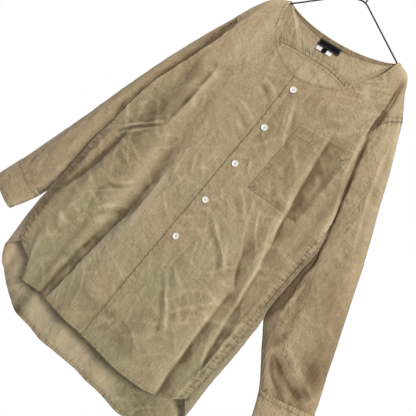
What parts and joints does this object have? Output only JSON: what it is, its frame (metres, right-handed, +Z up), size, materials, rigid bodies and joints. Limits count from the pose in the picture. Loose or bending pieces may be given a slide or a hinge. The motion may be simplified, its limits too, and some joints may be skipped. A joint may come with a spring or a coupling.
{
  "type": "collarless shirt on a wire hanger",
  "caption": "Long-sleeved collarless button-front shirt with a chest pocket, yoke, cuffs and a longer curved shirt tail, hanging on a thin wire hanger.",
  "frame": {"origin": "inside top of the hanger's hook, where the rail carries it", "axes": "+Z up, -Y to the shirt's front, +X to the wearer's left, which is the viewer's right"},
  "size_m": [0.7942, 0.0804, 0.9649],
  "materials": {
    "cloth": "thin washed cotton, plain weave, khaki beige",
    "button": "pearly off-white",
    "wire": "black coated wire",
    "label_black": "black woven tape",
    "label_white": "white printed tape, bare"
  },
  "bodies": {
    "root": {"front_left": "cloth", "front_right": "cloth", "yoke": "cloth", "back": "cloth", "sleeve_left": "cloth", "sleeve_right": "cloth", "cuff_left": "cloth", "cuff_right": "cloth", "placket": "cloth", "pocket": "cloth", "neck_facing": "cloth", "label_care": "label_white", "label_size": "label_black", "label_main": "label_black", "button_1": "button", "button_2": "button", "button_3": "button", "button_4": "button", "button_5": "button", "cuff_button_left": "button", "cuff_button_right": "button", "hanger": "wire"}
  },
  "joints": []
}
